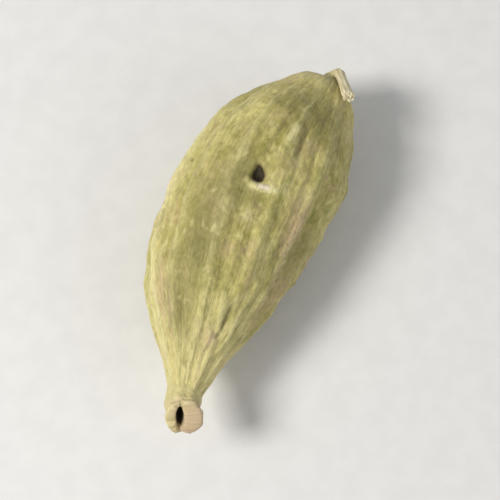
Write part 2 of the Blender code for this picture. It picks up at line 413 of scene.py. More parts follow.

# %% [markdown]
# ## Soft patches
#
# The skin of a pod is nowhere one colour for more than a few millimetres. Where it was bruised it is dull, where
# it rubbed against something it is worn pale, and where it ripened it has a pinkish blush. Some dull patches are
# painted shade instead: the painted shadow of the stalk on the shoulder and painted shade beside the hole. Noise
# alone would put such patches anywhere, so they are listed. Each fades out over a bell curve along the pod and
# round it, and how strongly it colours the skin is kept on each vertex.

# %% Patches of colour
# Each patch: share, degrees from the top, half length as a share and half width in degrees.
BLUSHES = (
    (0.870, -6, 0.024, 9),
    (0.76, 62, 0.08, 13),
    (0.68, -60, 0.12, 14),
    (0.45, -45, 0.10, 12),
    (0.30, 100, 0.14, 10),
    (0.66, 128, 0.12, 12),
    (0.40, -150, 0.12, 9),
    (0.75, -105, 0.10, 10),
)
# Dull patches are partly bruises and partly painted shade: those at 0.15 and 0.16 are the painted shadow of the
# stalk on the shoulder, and the one at 0.41 is painted shade beside the hole.
BRUISES_AND_PAINTED_SHADE = (
    (0.41, 8, 0.10, 14),
    (0.53, 26, 0.11, 20),
    (0.64, 18, 0.08, 14),
    (0.67, 32, 0.09, 15),
    (0.83, 36, 0.08, 20),
    (0.80, 46, 0.05, 12),
    (0.79, 60, 0.08, 14),
    (0.49, 12, 0.09, 12),
    (0.15, -30, 0.07, 36),
    (0.16, -12, 0.05, 20),
    (0.52, -66, 0.09, 14),
    (0.55, -125, 0.16, 14),
    (0.50, 145, 0.14, 13),
)
PALE_PATCHES = (
    (0.27, 56, 0.11, 22),
    (0.46, 72, 0.06, 12),
    (0.23, 26, 0.08, 18),
    (0.33, -24, 0.05, 9),
    (0.74, 56, 0.06, 9),
    (0.60, -27, 0.07, 11),
    (0.72, -36, 0.09, 12),
    (0.37, -36, 0.08, 13),
    (0.35, -90, 0.12, 10),
    (0.62, 170, 0.12, 12),
)
PATCH_LAYERS = {"blush": BLUSHES, "dull_and_shaded": BRUISES_AND_PAINTED_SHADE, "pale": PALE_PATCHES}


def patches(table, share, place):
    """How strongly the soft patches of a table colour the skin there."""
    return sum(
        bell(share - at, half_length) * bell(apart(place, math.radians(degrees)), math.radians(half_width))
        for at, degrees, half_length, half_width in table
    )


print({name: len(table) for name, table in PATCH_LAYERS.items()}, "patches on the husk")

# %% [markdown]
# ## The whole skin
#
# Now the parts come together. The body is turned with 360 sides and 270 rings, which puts a vertex about every
# 0.06 mm, as fine as the smallest ridge needs and still below 200,000 triangles. Each vertex then moves out or
# in by the sum of the formulas. Two more numbers are kept with it for the colours: how much it stands on a ridge,
# which is painted paler, partly as real wear and partly as painted highlight, and how deep it lies in a hollow,
# which is painted darker as painted shade. The edge of the top valve counts as a ridge too, so that it gets a
# painted highlight along its lit edge.
# Near the neck coarse folds take over from the ribs, and its end narrows where the flower tube takes hold.
#
# A dry pod barely touches what it lies on. The underside is pressed flat by a soft formula, a logarithm that
# leaves high points alone and squeezes everything below the surface to nothing, with no sharp edge.

# %% The skin at one point
NECK_FOLDS, NECK_FOLD_HEIGHT, NECK_NARROWING = 9, 0.05, 0.13
# The pale edge of the top valve is a painted highlight where the light falls along it.
PAINTED_EDGE_HIGHLIGHT, PAINTED_EDGE_WIDTH = math.radians(84), math.radians(20)
# Strokes, the hole's rim and the valve's edge weigh heavily in the ridge, which drives painted highlight as well
# as pale wear.
RIDGE_OF = {"crest": 0.58, "hair": 0.30, "pucker": 0.15, "stroke": 6.5, "rim": 20, "seam": 6, "edge": 0.80}
# How strongly each kind of fold, and the hole, get painted shade.
HOLLOW_SHADE_OF = {"stroke": 7, "seam": 6, "crease": 6, "hole": 4.2}
DEEPEST_FOLD = 0.75


def neck_folds(place):
    """The coarse folds of the neck in mm."""
    return NECK_FOLD_HEIGHT * math.cos(NECK_FOLDS * place + 1)


def skin(share, angle):
    """Radius, grain, ridge and hollow shade of the skin at a share of the length and an angle; the hollow shade is
    painted dark.
    """
    mean = outline_radius(share)
    place = from_top(share, angle)
    grain = grain_point(share, place)
    crest = rib_crest(share, place)
    crease = crease_depth(share, place)
    main = section(share, place) + rib_height(share, place) * crest + bulges(share, angle) - crease
    scale = min(1, 0.25 + mean / 3) * min(1, share / 0.03)
    hair = hair_ridges(grain)
    pucker = puckers(grain) * (1 - min(crest, 1))
    stroke = strokes(share, place, mean)
    depth, rim, sag = hole_relief(share, place, mean)
    seam = seam_relief(grain, place, mean) * fade(share, 0.02, 0.10)
    neck = neck_folds(place) * fade(share, 0.86, 0.98)
    fine = HAIR_RIDGE * (hair - 0.4) + PUCKER * pucker + DENT * dents(grain) * fade(share, 0, 0.1)
    radius = mean * main + scale * (fine + seam) + stroke + rim - depth - sag + neck
    radius *= 1 - NECK_NARROWING * fade(share, 0.955, 1.0)
    heights = {
        "crest": min(crest, 1),
        "hair": hair,
        "pucker": pucker,
        "stroke": max(stroke, 0),
        "rim": rim,
        "seam": max(seam, 0),
        "edge": bell(apart(place, PAINTED_EDGE_HIGHLIGHT), PAINTED_EDGE_WIDTH) * fade(share, 0.10, 0.35),
    }
    ridge = sum(RIDGE_OF[kind] * height for kind, height in heights.items())
    folds = {"stroke": max(-stroke, 0), "seam": max(-seam, 0), "crease": crease}
    hollow_shade = min(sum(HOLLOW_SHADE_OF[kind] * fold for kind, fold in folds.items()), DEEPEST_FOLD)
    return radius, grain, ridge, hollow_shade + HOLLOW_SHADE_OF["hole"] * depth


print("radius on top of the fullest ring:", round(skin(0.4, TOP_VALVE)[0], 2), "mm")

# %% Turn the husk
HUSK_SIDES, HUSK_RINGS, END_CROWDING = 360, 269, 0.5


def build_husk():
    """The body of the husk on its own line, with all that its vertices keep for the colours."""
    outline = []
    for ring in range(HUSK_RINGS + 1):
        even = ring / HUSK_RINGS
        share = even + END_CROWDING * (0.5 - 0.5 * math.cos(math.pi * even) - even)
        outline.append((share * HUSK_LENGTH, outline_radius(share)))
    body = spun(outline, HUSK_SIDES, ("ridge", "hollow_shade", *PATCH_LAYERS))
    grain_layer = body.verts.layers.float_vector["grain"]
    ridge_layer = body.verts.layers.float["ridge"]
    hollow_shade_layer = body.verts.layers.float["hollow_shade"]
    patch_layers = [(body.verts.layers.float[name], table) for name, table in PATCH_LAYERS.items()]
    for vert in body.verts:
        share = min(max(vert.co.x / HUSK_LENGTH, 0), 1)
        angle = math.atan2(vert.co.z, vert.co.y)
        seat = math.hypot(vert.co.y, vert.co.z) / outline_radius(share)
        radius, grain, ridge, hollow_shade = skin(share, angle)
        _, side, up = directions(share)
        vert.co = centre(share) + seat * radius * (math.cos(angle) * side + math.sin(angle) * up)
        vert[grain_layer] = grain
        vert[ridge_layer] = ridge
        vert[hollow_shade_layer] = hollow_shade
        for layer, table in patch_layers:
            vert[layer] = patches(table, share, from_top(share, angle))
    return body


husk_body = build_husk()
print("vertices of the husk:", len(husk_body.verts))

# %% Set the husk into the frame and press it flat below
PRESS_SOFTNESS, PRESS_LIMIT = 0.05, 8
low = [min(vert.co[axis] for vert in husk_body.verts) for axis in range(3)]
high = [max(vert.co[axis] for vert in husk_body.verts) for axis in range(3)]
husk_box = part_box("husk")
to_frame = Vector(
    (
        1000 * (husk_box[0][0] + husk_box[1][0]) / 2 - (low[0] + high[0]) / 2,
        1000 * (husk_box[0][1] + husk_box[1][1]) / 2 - (low[1] + high[1]) / 2,
        1000 * husk_box[1][2] - high[2],
    )
)
bmesh.ops.translate(husk_body, vec=to_frame, verts=husk_body.verts)
for vert in husk_body.verts:
    pressed = vert.co.z / PRESS_SOFTNESS
    if pressed < PRESS_LIMIT:
        vert.co.z = PRESS_SOFTNESS * math.log1p(math.exp(pressed))
print("from the modelling line to the frame, in mm:", [round(value, 2) for value in to_frame])

# %% [markdown]
# ## Nodes with plain names
#
# The finishes are procedural: small networks of nodes that work out a colour at each point from noise. A few
# helpers keep them readable. Each adds one node, links it and hands back its output, so that a finish reads as
# a list of what lies over what. Numbers that are the same everywhere, such as the sheen of the dry skin, are
# set on the shader itself.

# %% Helpers for finishes


def new_finish(name, sheen, specular):
    """A node material with its constant values set, and its node tree and shader."""
    material = bpy.data.materials.new(name)
    material.use_nodes = True
    shader = material.node_tree.nodes["Principled BSDF"]
    shader.inputs["Metallic"].default_value = 0
    shader.inputs["Specular IOR Level"].default_value = specular
    shader.inputs["Sheen Weight"].default_value = sheen
    shader.inputs["Sheen Roughness"].default_value = 0.4
    return material, material.node_tree, shader


def attribute(tree, name, output):
    """What a vertex keeps under that name."""
    node = tree.nodes.new("ShaderNodeAttribute")
    node.attribute_name = name
    return node.outputs[output]


def stretched(tree, vector, along, around):
    """The grain squeezed or drawn out, along the pod and round it."""
    node = tree.nodes.new("ShaderNodeMapping")
    node.inputs["Scale"].default_value = (along, around, around)
    tree.links.new(vector, node.inputs["Vector"])
    return node.outputs["Vector"]


def clouds(tree, vector, scale=1.0, detail=3.0, roughness=0.5, distortion=0.0):
    """Noise from 0 to 1, mostly near one half."""
    node = tree.nodes.new("ShaderNodeTexNoise")
    node.inputs["Scale"].default_value = scale
    node.inputs["Detail"].default_value = detail
    node.inputs["Roughness"].default_value = roughness
    node.inputs["Distortion"].default_value = distortion
    tree.links.new(vector, node.inputs["Vector"])
    return node.outputs["Fac"]


print("materials so far:", len(bpy.data.materials))

# %% Helpers that map and mix values


def spread(tree, value, low, high, to_low=0.0, to_high=1.0):
    """A value that runs from low to high, mapped onto another range and held inside it."""
    node = tree.nodes.new("ShaderNodeMapRange")
    node.interpolation_type = "SMOOTHSTEP"
    for name, number in (("From Min", low), ("From Max", high), ("To Min", to_low), ("To Max", to_high)):
        node.inputs[name].default_value = number
    tree.links.new(value, node.inputs["Value"])
    return node.outputs["Result"]


def combined(tree, operation, a, b):
    """Arithmetic on two values, either of which may be a plain number."""
    node = tree.nodes.new("ShaderNodeMath")
    node.operation = operation
    for socket, value in zip(node.inputs, (a, b)):
        if isinstance(value, (int, float)):
            socket.default_value = value
        else:
            tree.links.new(value, socket)
    return node.outputs["Value"]


def layered(tree, amount, under, over):
    """One colour over another, by an amount from 0 to 1."""
    node = tree.nodes.new("ShaderNodeMix")
    node.data_type = "RGBA"
    sockets = (node.inputs["Factor"], amount), (node.inputs[6], under), (node.inputs[7], over)
    for socket, value in sockets:
        if isinstance(value, bpy.types.NodeSocket):
            tree.links.new(value, socket)
        elif isinstance(value, tuple):
            socket.default_value = (*value, 1)
        else:
            socket.default_value = value
    return node.outputs[2]


def raised(tree, height, strength, distance, normal=None):
    """A bump of a real height in metres, over another bump if there is one."""
    node = tree.nodes.new("ShaderNodeBump")
    node.inputs["Strength"].default_value = strength
    node.inputs["Distance"].default_value = distance
    tree.links.new(height, node.inputs["Height"])
    if normal is not None:
        tree.links.new(normal, node.inputs["Normal"])
    return node.outputs["Normal"]


def parts_of(tree, vector):
    """The X, Y and Z of a vector."""
    node = tree.nodes.new("ShaderNodeSeparateXYZ")
    tree.links.new(vector, node.inputs["Vector"])
    return node.outputs["X"], node.outputs["Y"], node.outputs["Z"]


print("arithmetic used below: ADD, MULTIPLY and MAXIMUM")

# %% [markdown]
# ## The colour of the dry skin
#
# A good pod is dried in the shade and stays green, but never evenly. The middle of each valve is a dull olive
# green. Towards both ends, on the crests of the ribs and on rubbed spots it is the colour of straw, and in
# places it blushes pinkish tan. The crests that stand out most are painted paler still, as painted highlight,
# and the hollows are painted darker, as painted shade. A few brown specks show where the skin was hurt.
#
# The layers follow that order: broad clouds of green, then mottles, blotches and streaks along the grain, pale
# patches, straw ends, dull patches that are partly painted shade, straw crests with painted highlight, small
# flecks and the blush. Painted shade in the hollows and the specks come last.
# The finest fibres only change the brightness a little, and the same fibres drive the bump and the roughness, so
# that colour and relief agree.

# %% The greens of the husk
husk_finish, tree, shader = new_finish("husk_skin", sheen=0.12, specular=0.35)
grain = attribute(tree, "grain", "Vector")
ridge = attribute(tree, "ridge", "Fac")
hollow_shade = attribute(tree, "hollow_shade", "Fac")
length = parts_of(tree, grain)[0]

broad = clouds(tree, grain, scale=0.33, detail=3)
colour = layered(tree, spread(tree, broad, 0.38, 0.62), (0.290, 0.266, 0.074), (0.430, 0.374, 0.126))
mottle = clouds(tree, stretched(tree, grain, 1.1, 1.4), detail=5, roughness=0.65)
colour = layered(tree, spread(tree, mottle, 0.44, 0.62, 0, 0.85), colour, (0.550, 0.480, 0.195))
blotches = clouds(tree, stretched(tree, grain, 0.9, 1.3), detail=5, roughness=0.65, distortion=0.6)
colour = layered(tree, spread(tree, blotches, 0.51, 0.66, 0, 0.8), colour, (0.430, 0.325, 0.170))
colour = layered(tree, spread(tree, blotches, 0.36, 0.48, 0.85, 0), colour, (0.245, 0.238, 0.050))
streaks = clouds(tree, stretched(tree, grain, 0.30, 2.0), detail=4, distortion=0.6)
colour = layered(tree, spread(tree, streaks, 0.50, 0.70, 0, 0.5), colour, (0.570, 0.500, 0.205))
green_streaks = clouds(tree, stretched(tree, grain, 0.45, 1.7), scale=1.3, detail=3)
colour = layered(tree, spread(tree, green_streaks, 0.52, 0.75, 0, 0.5), colour, (0.270, 0.280, 0.072))
print("nodes for the greens:", len(tree.nodes))

# %% Pale patches, straw ends, and dull patches that are partly painted shade
worn = combined(tree, "MULTIPLY", attribute(tree, "pale", "Fac"), spread(tree, mottle, 0.30, 0.60, 0.3, 0.8))
colour = layered(tree, worn, colour, (0.610, 0.540, 0.225))
to_stalk = spread(tree, length, 0.2, 3.2, 1, 0)
to_neck = spread(tree, length, 11.5, 16.2)
ends = combined(tree, "MAXIMUM", combined(tree, "MULTIPLY", to_stalk, 0.6), to_neck)
patchy_ends = combined(tree, "MULTIPLY", ends, spread(tree, mottle, 0.25, 0.60, 0.35, 1))
colour = layered(tree, patchy_ends, colour, (0.760, 0.670, 0.325))
# Dull patches darken the skin, partly as bruises and partly as painted shade.
dull_and_shaded = combined(tree, "MULTIPLY", attribute(tree, "dull_and_shaded", "Fac"), 0.6)
colour = layered(tree, dull_and_shaded, colour, (0.265, 0.235, 0.085))
print("nodes with the patches:", len(tree.nodes))

# %% Crests with wear and painted highlight, flecks and blush
# Pale crests: partly real wear, partly painted highlight on the lit edge of the top valve and on the stroke
# ridges.
rubbed_and_lit = combined(tree, "MULTIPLY", spread(tree, ridge, 0.35, 1.10), spread(tree, mottle, 0.30, 0.65, 0.35, 1))
colour = layered(tree, combined(tree, "MULTIPLY", rubbed_and_lit, 0.85), colour, (0.610, 0.550, 0.255))
colour = layered(tree, spread(tree, ridge, 0.90, 1.60, 0, 0.90), colour, (0.720, 0.665, 0.345))
flecks = clouds(tree, stretched(tree, grain, 1.3, 1.9), detail=2, distortion=0.4)
colour = layered(tree, spread(tree, flecks, 0.58, 0.68, 0, 0.40), colour, (0.640, 0.580, 0.290))
colour = layered(tree, spread(tree, flecks, 0.32, 0.42, 0.40, 0), colour, (0.240, 0.215, 0.070))

blush = clouds(tree, stretched(tree, grain, 0.5, 0.8), scale=0.9, detail=4, distortion=0.6)
flushed = combined(tree, "ADD", spread(tree, blush, 0.50, 0.70, 0, 0.5), attribute(tree, "blush", "Fac"))
flushed = combined(tree, "MULTIPLY", flushed, spread(tree, streaks, 0.30, 0.62, 0.25, 0.9))
colour = layered(tree, spread(tree, flushed, 0, 1, 0, 0.75), colour, (0.560, 0.410, 0.255))
# Painted highlight: near white on the highest stroke ridges and on the rim of the hole.
painted_ridge_highlight = spread(tree, ridge, 1.9, 2.8)
colour = layered(tree, combined(tree, "MULTIPLY", painted_ridge_highlight, 0.9), colour, (0.840, 0.740, 0.560))
print("nodes with the crests and the blush:", len(tree.nodes))

# %% Painted shade in the hollows, specks and fibres of the husk
# Painted shade: darker in the creases, seams and hollows, and almost black down the hole.
colour = layered(tree, spread(tree, hollow_shade, 0.15, 1.3, 0, 0.85), colour, (0.105, 0.085, 0.030))
colour = layered(tree, spread(tree, hollow_shade, 0.8, 1.3, 0, 0.9), colour, (0.026, 0.016, 0.009))

specks = tree.nodes.new("ShaderNodeTexVoronoi")
specks.inputs["Scale"].default_value = 1.1
tree.links.new(grain, specks.inputs["Vector"])
near = spread(tree, specks.outputs["Distance"], 0.05, 0.11, 1, 0)
chosen = spread(tree, parts_of(tree, specks.outputs["Color"])[0], 0.72, 0.74)
speck = combined(tree, "MULTIPLY", combined(tree, "MULTIPLY", near, chosen), 0.6)
colour = layered(tree, speck, colour, (0.160, 0.110, 0.050))

fibres = clouds(tree, stretched(tree, grain, 1.1, 13), detail=4, roughness=0.6)
fine = clouds(tree, stretched(tree, grain, 4, 6), detail=4, roughness=0.6)
by_fibres, by_fine = spread(tree, fibres, 0.3, 0.7, 0.90, 1.09), spread(tree, fine, 0.3, 0.7, 0.86, 1.12)
shade = combined(tree, "MULTIPLY", by_fibres, by_fine)
brightness = tree.nodes.new("ShaderNodeHueSaturation")
brightness.inputs["Saturation"].default_value = 1.05
tree.links.new(shade, brightness.inputs["Value"])
tree.links.new(colour, brightness.inputs["Color"])
tree.links.new(brightness.outputs["Color"], shader.inputs["Base Color"])

tree.links.new(spread(tree, fibres, 0.3, 0.7, 0.72, 0.52), shader.inputs["Roughness"])
normal = raised(tree, fibres, 0.8, 0.00004)
normal = raised(tree, fine, 0.7, 0.00003, normal)
tree.links.new(normal, shader.inputs["Normal"])
finished("husk_skin", husk_body, "husk", husk_finish)
print("nodes in the husk's finish:", len(tree.nodes))

# %% [markdown]
# ## The dried flower tube
#
# When the flower has faded, its tube dries to a short papery cup that stays on the neck. In this pod it curls
# upwards, with a pale lip round a dark opening that has closed to a slit. On one side of the slit the wall is
# thin and goes on from the neck, on the other it has swollen to a rounded lobe. Between the two the lip is
# notched, deeply at the upper end of the slit and a little at the lower, and the wall is pleated by its veins.
#
# The cup is spun from one outline that goes up the outside, over the lip and down into the opening, so wall and
# lip are one closed body. A smooth line through a few points gives that outline, and a bend along an arc curls
# the cup.
#
# The opening is pressed to a slit at the very end: of each point's distance from the middle, the part across the
# slit is made smaller and the part along it a little larger.

# %% Helpers for smooth lines and bends


def smooth_line(points, steps):
    """A curve through the points, with that many steps between each two."""
    line = []
    for i in range(len(points) - 1):
        p = [Vector(points[min(max(i + k, 0), len(points) - 1)]) for k in (-1, 0, 1, 2)]
        for step in range(steps):
            u = step / steps
            line.append(
                0.5 * (2 * p[1] + (p[2] - p[0]) * u + (2 * p[0] - 5 * p[1] + 4 * p[2] - p[3]) * u**2
                       + (3 * p[1] - p[0] - 3 * p[2] + p[3]) * u**3)
            )
    line.append(Vector(points[-1]))
    return [(point[0], point[1]) for point in line]


def curled(body, base, forward, turn, arc, bend):
    """Lays a body that was turned round X along a line that swings from forward to turn over the arc."""
    radius = arc / bend
    across = turn.cross(forward)
    for vert in body.verts:
        angle = bend * min(max(vert.co.x, 0) / arc, 1)
        beyond = max(vert.co.x - arc, 0) + min(vert.co.x, 0)
        heading = math.cos(angle) * forward + math.sin(angle) * turn
        outward = math.cos(angle) * turn - math.sin(angle) * forward
        on_arc = radius * (math.sin(angle) * forward + (1 - math.cos(angle)) * turn)
        vert.co = base + on_arc + beyond * heading + vert.co.y * across + vert.co.z * outward


print("points of a smooth line through 3 points:", len(smooth_line([(0, 0), (1, 1), (2, 0)], 4)))

# %% Measures of the flower tube
TUBE_LENGTH, TUBE_CURL, TUBE_SIDE = 1.35, math.radians(42), math.radians(17)
TUBE_OUTLINE = (  # mm along and radius: up the outside, over the lip and in
    (-0.45, 0.66), (-0.34, 0.74), (-0.18, 0.77), (0.00, 0.79), (0.30, 0.80),
    (0.60, 0.80), (0.85, 0.82), (1.05, 0.87), (1.18, 0.91), (1.28, 0.90),
    (1.35, 0.84), (1.385, 0.75), (1.39, 0.66), (1.36, 0.57), (1.28, 0.50),
    (1.15, 0.45), (0.95, 0.41), (0.70, 0.35), (0.45, 0.26), (0.32, 0.10),
)
TUBE_SIDES, TUBE_TOP = 180, math.radians(84)
MOUTH_NARROWING, MOUTH_STRETCH, MOUTH_SHIFT = 0.60, 0.15, -0.12
MOUTH_TURN = math.radians(19)
PLEATS, PLEAT_HEIGHT, VEIN_HEIGHT = 5, 0.022, 0.030
LOBES = ((1, 0, 0.050), (2, 0.5, 0.050), (3, 0, 0.040))  # waves round the lip, their start and their height in mm
SWELLING, SWOLLEN_AT, SWOLLEN_WIDTH = 0.16, math.radians(-5), math.radians(50)
NOTCH_WIDTH, NOTCH_DEPTH, NOTCH_PINCH, LOWER_NOTCH = math.radians(17), 0.15, 0.10, 0.35
THINNING = 0.14
print("the lip is", 2 * max(radius for _, radius in TUBE_OUTLINE), "mm across before it is worn and pressed")

# %% Build the flower tube


def build_tube():
    """The cup with its pleats, its notched lip, its one thin side and its slit of a mouth."""
    body = spun(smooth_line(TUBE_OUTLINE, 5), TUBE_SIDES, ("lip", "inside"))
    grain_layer = body.verts.layers.float_vector["grain"]
    lip_layer = body.verts.layers.float["lip"]
    inside_layer = body.verts.layers.float["inside"]
    cosine, sine = math.cos(MOUTH_TURN), math.sin(MOUTH_TURN)
    for vert in body.verts:
        along, radius = vert.co.x, math.hypot(vert.co.y, vert.co.z)
        angle = math.atan2(vert.co.z, vert.co.y)
        height = max(along, 0) / TUBE_LENGTH
        inner = fade(0.62 + 0.30 * height**3 - radius, 0.0, 0.12) * fade(along, 0.1, 0.4)
        around = Vector((math.cos(angle), math.sin(angle), 0))
        place = Vector((along, around.x, around.y))

        uneven = angle + 0.9 * noise.noise(around * 0.8 + Vector((0, 0, 7)))
        pleat = PLEAT_HEIGHT * math.cos(PLEATS * uneven + 1.2 * along) * (1 - 0.7 * inner) * fade(along, 0.2, 0.9)
        pleat += neck_folds(angle - TUBE_TOP) * (1 - 0.8 * fade(along, 0.0, 1.2)) * (1 - inner)
        crumple = 0.070 * noise.noise(place * 1.7) + 0.035 * noise.noise(place * 4.5)
        vein = noise.noise(Vector((along * 0.8, 4 * around.x, 4 * around.y)))
        veins = VEIN_HEIGHT * max(0, 1 - 3 * abs(vein))

        lobes = sum(tall * math.cos(waves * angle + start) for waves, start, tall in LOBES) * height**4
        torn = (0.11 * noise.noise(around * 2.4 + Vector((0, 0, 4))) + 0.05 * noise.noise(around * 7)) * height**6
        swollen = SWELLING * bell(apart(angle, SWOLLEN_AT), SWOLLEN_WIDTH) * fade(along, 0.9, 1.3)
        above, below = apart(angle, MOUTH_TURN + math.pi / 2), apart(angle, MOUTH_TURN - math.pi / 2)
        notch = (bell(above, NOTCH_WIDTH) + LOWER_NOTCH * bell(below, NOTCH_WIDTH)) * fade(along, 0.6, 1.3)
        thin = fade(-around.x, -0.1, 0.9) * fade(along, 0.5, 1.15)
        wide = radius * (1 + pleat + crumple - NOTCH_PINCH * notch - THINNING * thin)
        wide += min(radius, 0.5) * (veins + swollen)

        mouth = fade(0.80 - radius, 0.0, 0.28) * fade(along, 0.1, 0.4)
        across = wide * (around.x * cosine + around.y * sine)
        slit = wide * (around.y * cosine - around.x * sine) * (1 + MOUTH_STRETCH * mouth)
        across = across * (1 - MOUTH_NARROWING * mouth) + MOUTH_SHIFT * mouth
        out = along + lobes + torn - NOTCH_DEPTH * notch
        vert.co = (out, across * cosine - slit * sine, across * sine + slit * cosine)
        vert[grain_layer] = Vector((along, 0.8 * around.x, 0.8 * around.y))
        vert[lip_layer] = fade(along, 0.95, 1.3) * (1 - inner) * (1 - 0.6 * notch)
        # How deep into the opening a point lies, for the painted shade there.
        vert[inside_layer] = inner * fade(1.35 - along, 0.0, 0.45)
    forward, side, up = directions(1)
    turn = math.sin(TUBE_SIDE) * side + math.cos(TUBE_SIDE) * up
    curled(body, centre(1) + 0.1 * forward + to_frame, forward, turn, TUBE_LENGTH, TUBE_CURL)
    return body


tube_body = build_tube()
print("vertices of the flower tube:", len(tube_body.verts))

# %% [markdown]
# ## The colour of the flower tube
#
# The tube is thin dead tissue, and hardly any green is left in it. It is the greenish straw of the neck where it
# starts and on its thin side, and pinkish tan on the swollen one. Its lip is the palest part, and veins show a
# little darker. Inside the opening it is painted brown, darker the deeper one looks, as painted shade added to
# the shadows the lamps cast there.

# %% The finish of the flower tube
tube_finish, tree, shader = new_finish("flower_tube", sheen=0.10, specular=0.30)
grain = attribute(tree, "grain", "Vector")
cloud = clouds(tree, grain, scale=2.2, detail=4, roughness=0.6)
colour = layered(tree, spread(tree, cloud, 0.35, 0.65), (0.540, 0.450, 0.225), (0.670, 0.580, 0.310))
along, sideways, _ = parts_of(tree, grain)
pink = clouds(tree, grain, scale=1.1, detail=2, distortion=0.5)
swollen_side = spread(tree, sideways, -0.1, 0.7, 0, 0.65)
flushed = combined(tree, "ADD", spread(tree, pink, 0.45, 0.65, 0, 0.35), swollen_side)
colour = layered(tree, flushed, colour, (0.560, 0.410, 0.275))
colour = layered(tree, spread(tree, along, 0.25, 1.05, 0.85, 0), colour, (0.600, 0.535, 0.245))
lip = attribute(tree, "lip", "Fac")
pale = combined(tree, "MULTIPLY", spread(tree, lip, 0.1, 0.9), spread(tree, cloud, 0.3, 0.55, 0.15, 0.55))
lip_side = layered(tree, spread(tree, sideways, -0.25, 0.35), (0.700, 0.640, 0.350), (0.500, 0.370, 0.240))
colour = layered(tree, pale, colour, lip_side)
veins = clouds(tree, stretched(tree, grain, 2.0, 7), detail=5, roughness=0.6)
colour = layered(tree, spread(tree, veins, 0.50, 0.72, 0, 0.45), colour, (0.400, 0.310, 0.150))
inside = attribute(tree, "inside", "Fac")
# Painted shade inside the opening, darker the deeper it goes.
colour = layered(tree, spread(tree, inside, 0.05, 0.75, 0, 0.95), colour, (0.055, 0.035, 0.018))
tree.links.new(colour, shader.inputs["Base Color"])
tree.links.new(spread(tree, veins, 0.3, 0.7, 0.82, 0.62), shader.inputs["Roughness"])
normal = raised(tree, veins, 0.8, 0.00003)
tree.links.new(normal, shader.inputs["Normal"])
finished("flower_tube", tube_body, "calyx", tube_finish)
print("nodes in the tube's finish:", len(tree.nodes))

# %% [markdown]
# ## The broken stalk
#
# The pod hung on a little stem, and a stub of it stayed on. It dried to a flattened, grooved straw that bends
# over sideways along the shoulder, and it ends in a rough break where its fibres tore. A narrow collar marks
# where it grew from the pod.
#
# The stub is spun like the tube, with enough rings for the grooves. Its ends differ: the root is tucked into the
# husk, and the break is pushed in and out by noise, so it looks torn and not cut. A few splinters, each a thin
# spun cone, stand out of the break.

# %% Measures of the stalk
STALK_ARC, STALK_BEND, STALK_SIDE = 0.68, math.radians(125), math.radians(56)
STALK_OUTLINE = (  # mm along and radius
    (-0.25, 0.34), (-0.08, 0.44), (0.03, 0.42), (0.12, 0.36), (0.22, 0.31), (0.36, 0.28),
    (0.50, 0.27), (0.62, 0.26), (0.75, 0.26), (1.05, 0.25), (1.55, 0.24), (2.15, 0.25),
    (2.60, 0.27), (2.85, 0.29), (2.96, 0.27), (3.00, 0.18), (2.99, 0.08),
)
STALK_SIDES = 84
STALK_GROOVES, GROOVE_HEIGHT, STRING_HEIGHT = 7, 0.060, 0.080
STALK_WIDTH, STALK_THICKNESS = 1.10, 0.88
SPLINTER_ROOT, SPLINTER_SEAT, SPLINTER_TIP = 2.88, 0.2, 0.008
SPLINTERS = (  # angle round the break in degrees, distance from its middle, length and radius in mm
    (20, 0.18, 0.22, 0.050),
    (95, 0.20, 0.14, 0.045),
    (150, 0.11, 0.18, 0.040),
    (215, 0.19, 0.24, 0.045),
    (300, 0.15, 0.12, 0.055),
)
X_FROM_Z = Matrix.Rotation(math.radians(90), 3, "Y")
print("the stub is", STALK_OUTLINE[-2][0], "mm long and has", len(SPLINTERS), "splinters")

# %% Build the stalk


def build_stalk():
    """The grooved stub with its torn end and its splinters."""
    body = spun(smooth_line(STALK_OUTLINE, 6), STALK_SIDES, ("torn",))
    for degrees, off, length, radius in SPLINTERS:
        angle = math.radians(degrees)
        size = {"radius1": radius, "radius2": SPLINTER_TIP, "depth": length + SPLINTER_SEAT}
        cone = bmesh.ops.create_cone(body, cap_ends=True, segments=10, **size)["verts"]
        bmesh.ops.rotate(body, verts=cone, cent=(0, 0, 0), matrix=X_FROM_Z)
        middle = (SPLINTER_ROOT + length / 2, off * math.cos(angle), off * math.sin(angle))
        bmesh.ops.translate(body, vec=middle, verts=cone)
    grain_layer = body.verts.layers.float_vector["grain"]
    torn_layer = body.verts.layers.float["torn"]
    for vert in body.verts:
        along, radius = vert.co.x, math.hypot(vert.co.y, vert.co.z)
        angle = math.atan2(vert.co.z, vert.co.y)
        around = Vector((math.cos(angle), math.sin(angle), 0))
        rough = fade(along, 2.6, 2.9)
        groove = GROOVE_HEIGHT * math.cos(STALK_GROOVES * angle + 0.8 * along)
        strings = STRING_HEIGHT * noise.noise(Vector((along * 0.5, 3.2 * around.x, 3.2 * around.y)))
        fray = 0.14 * noise.noise(Vector((2, 9 * vert.co.y, 9 * vert.co.z))) * rough
        waist = 1 - 0.10 * noise.noise(Vector((along * 1.4, 5, 2)))
        wide = radius * waist * (1 + groove + strings)
        vert.co = (along + fray, wide * around.x * STALK_WIDTH, wide * around.y * STALK_THICKNESS)
        vert[grain_layer] = Vector((along, 0.32 * around.x, 0.32 * around.y))
        vert[torn_layer] = rough
    forward, side, up = directions(0)
    turn = math.cos(STALK_SIDE) * side + math.sin(STALK_SIDE) * up
    curled(body, centre(0) - 0.1 * forward + to_frame, -forward, turn, STALK_ARC, STALK_BEND)
    return body


stalk_body = build_stalk()
print("vertices of the stalk:", len(stalk_body.verts))

# %% [markdown]
# ## The colour of the stalk
#
# A dry stem is bundles of fibres, so its colour runs in streaks along it: pale straw, with some green left near
# the pod, brown in the grooves, and almost white where the break bared the inside.

